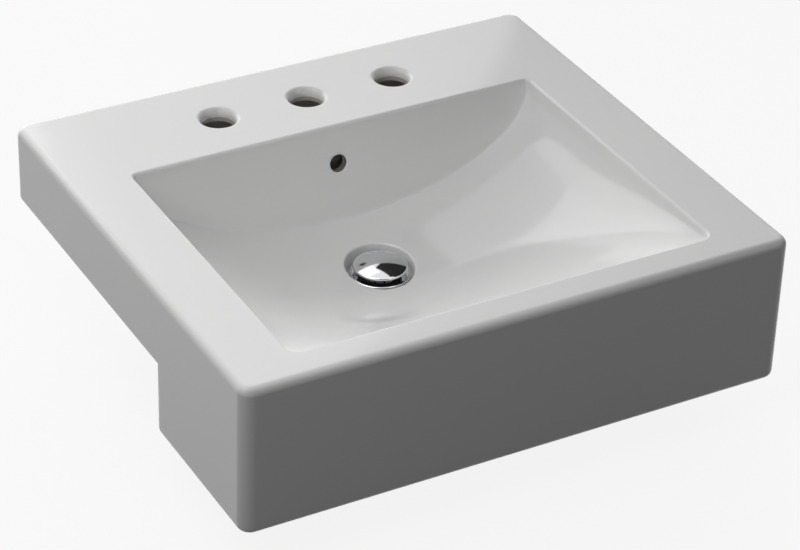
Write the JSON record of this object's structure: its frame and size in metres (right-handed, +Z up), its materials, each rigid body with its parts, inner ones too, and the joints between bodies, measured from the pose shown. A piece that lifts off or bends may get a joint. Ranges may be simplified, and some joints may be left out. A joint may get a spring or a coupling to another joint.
{
  "type": "semi-recessed washbasin",
  "caption": "Rectangular white semi-recessed washbasin with a deep front block, a scooped bowl, tap holes, an overflow and a push-to-open domed waste.",
  "frame": {"origin": "middle of the counter's front top edge, where the front block's back and the slab's foot meet", "axes": "+X to the user's right as they face the basin, +Y towards the wall, +Z up"},
  "size_m": [0.594, 0.534, 0.2065],
  "materials": {
    "glaze": "gloss white glaze",
    "chrome": "polished chrome plate on brass",
    "rubber": "matt black rubber",
    "nylon": "translucent white slip washer",
    "brass": "turned brass",
    "acetal": "white acetal",
    "rotor_acetal": "coloured acetal",
    "spring_steel": "stainless wire"
  },
  "bodies": {
    "basin_body": {"basin": "glaze", "waste_body": "chrome", "upper_washer": "rubber", "lower_gasket": "rubber", "slip_washer": "nylon", "back_nut": "brass", "cartridge_sleeve": "acetal", "sleeve_collar": "acetal", "rod_seal": "rubber", "spider_screw": "brass", "cartridge_spring": "spring_steel"},
    "plug": {"plunger": "acetal", "plug_cap": "chrome", "plug_seal": "rubber"},
    "rotor": {"click_rotor": "rotor_acetal"}
  },
  "joints": [
    {"name": "plug_travel", "type": "slide", "parent": "basin_body", "child": "plug", "axis": [0, 0, 1], "range_m": [-0.007, 0], "stiffness_N_per_m": 500, "springref_m": 0.006, "deforming": ["cartridge_spring"]},
    {"name": "rotor_turn", "type": "hinge", "parent": "plug", "child": "rotor", "pos_m": [0, 0.094, -0.06], "axis": [0, 0, 1], "range_deg": [0, 22.5]}
  ],
  "couplings": [
    {"joint": "rotor_turn", "follows": "plug_travel", "rad_per_m": -56}
  ]
}
